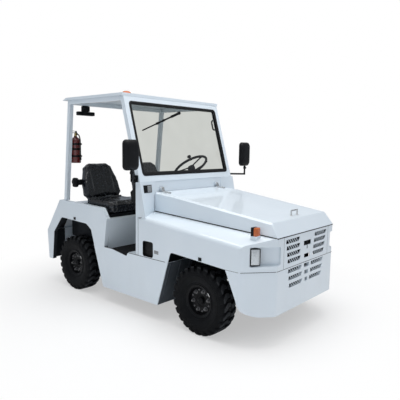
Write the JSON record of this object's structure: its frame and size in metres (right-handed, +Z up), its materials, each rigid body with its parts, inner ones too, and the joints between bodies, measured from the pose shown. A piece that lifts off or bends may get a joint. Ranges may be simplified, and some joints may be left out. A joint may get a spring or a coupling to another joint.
{
  "type": "baggage towing tractor",
  "caption": "Low towing tractor with an open-sided cab, sloping hood, slotted grille and heavy bumper, lugged tyres, steered front wheels and a rear pin hitch.",
  "frame": {"origin": "on the ground at the middle of the length and width", "axes": "+X forward, +Y to the driver's left, +Z up"},
  "size_m": [2.766, 1.704, 2.0128],
  "materials": {
    "white_paint": "gloss",
    "black_paint": "satin",
    "steel": "satin",
    "cast_iron": "matte",
    "tyre_rubber": "matte",
    "rubber": "matte",
    "glass": "clear",
    "seat_vinyl": "satin",
    "black_plastic": "textured",
    "amber_lens": "gloss",
    "red_lens": "gloss",
    "red_paint": "gloss"
  },
  "bodies": {
    "chassis": {"beacon": "amber_lens", "chassis_frame": "black_paint", "cowl": "white_paint", "dashboard": "black_plastic", "door_sills": "white_paint", "driver_controls": "black_paint", "engine_block": "cast_iron", "fire_extinguisher": "red_paint", "floor_mat": "rubber", "floor_plate": "steel", "front_axle_beam": "black_paint", "front_bumper": "white_paint", "front_fenders": "white_paint", "grab_handle": "black_plastic", "grille_fins": "white_paint", "grille_panel": "white_paint", "headlamps": "black_plastic", "leaf_springs": "black_paint", "mirror_arms": "black_paint", "mirror_heads": "black_plastic", "radiator": "black_paint", "rear_axle_housing": "black_paint", "rear_bumper": "white_paint", "rear_fenders": "white_paint", "rear_panel": "white_paint", "roof_frame": "white_paint", "roof_panel": "white_paint", "seat_backs": "seat_vinyl", "seat_bases": "black_paint", "seat_cushions": "seat_vinyl", "seat_deck": "white_paint", "side_skirts": "white_paint", "steering_column": "black_plastic", "tail_lamps": "red_lens", "tow_hitch": "black_paint", "turn_lamps": "amber_lens", "wheel_housings": "black_paint", "windshield_frame": "white_paint", "windshield_gasket": "rubber", "windshield_glass": "glass", "wiper": "rubber", "work_lamp": "black_plastic"},
    "knuckle_left": {"knuckle_left": "black_paint"},
    "knuckle_right": {"knuckle_right": "black_paint"},
    "wheel_front_left": {"tyre_front_left": "tyre_rubber", "rim_front_left": "black_paint"},
    "wheel_front_right": {"tyre_front_right": "tyre_rubber", "rim_front_right": "black_paint"},
    "wheel_rear_left": {"tyre_rear_left": "tyre_rubber", "rim_rear_left": "black_paint"},
    "wheel_rear_right": {"tyre_rear_right": "tyre_rubber", "rim_rear_right": "black_paint"},
    "tie_rod": {"tie_rod": "black_paint"},
    "steering_wheel": {"steering_wheel": "black_plastic"},
    "hood": {"hood": "white_paint", "hood_fittings": "steel"},
    "tow_pin": {"tow_pin": "steel"}
  },
  "joints": [
    {"name": "steer_left", "type": "hinge", "parent": "chassis", "child": "knuckle_left", "pos_m": [0.817, 0.455, 0.27], "axis": [0, 0, 1], "range_deg": [-35, 35]},
    {"name": "steer_right", "type": "hinge", "parent": "chassis", "child": "knuckle_right", "pos_m": [0.817, -0.455, 0.27], "axis": [0, 0, 1], "range_deg": [-35, 35]},
    {"name": "tie_rod_swing", "type": "hinge", "parent": "knuckle_left", "child": "tie_rod", "pos_m": [0.667, 0.455, 0.2237], "axis": [0, 0, 1], "range_deg": [-35, 35]},
    {"name": "front_left_spin", "type": "hinge", "parent": "knuckle_left", "child": "wheel_front_left", "pos_m": [0.817, 0.567, 0.27], "axis": [0, 1, 0], "continuous": true},
    {"name": "front_right_spin", "type": "hinge", "parent": "knuckle_right", "child": "wheel_front_right", "pos_m": [0.817, -0.567, 0.27], "axis": [0, 1, 0], "continuous": true},
    {"name": "rear_left_spin", "type": "hinge", "parent": "chassis", "child": "wheel_rear_left", "pos_m": [-0.823, 0.567, 0.27], "axis": [0, 1, 0], "continuous": true},
    {"name": "rear_right_spin", "type": "hinge", "parent": "chassis", "child": "wheel_rear_right", "pos_m": [-0.823, -0.567, 0.27], "axis": [0, 1, 0], "continuous": true},
    {"name": "steering_wheel_turn", "type": "hinge", "parent": "chassis", "child": "steering_wheel", "pos_m": [-0.123, 0.3, 1.235], "axis": [-0.6157, 0, 0.788], "range_deg": [-420, 420]},
    {"name": "hood_lift", "type": "hinge", "parent": "chassis", "child": "hood", "pos_m": [0.161, 0, 1.078], "axis": [0, -1, 0], "range_deg": [0, 55]},
    {"name": "tow_pin_lift", "type": "slide", "parent": "chassis", "child": "tow_pin", "axis": [0, 0, 1], "range_m": [0, 0.19]}
  ],
  "couplings": [
    {"joint": "steer_right", "follows": "steer_left", "ratio": 1},
    {"joint": "tie_rod_swing", "follows": "steer_left", "ratio": -1},
    {"joint": "steering_wheel_turn", "follows": "steer_left", "ratio": 12}
  ]
}
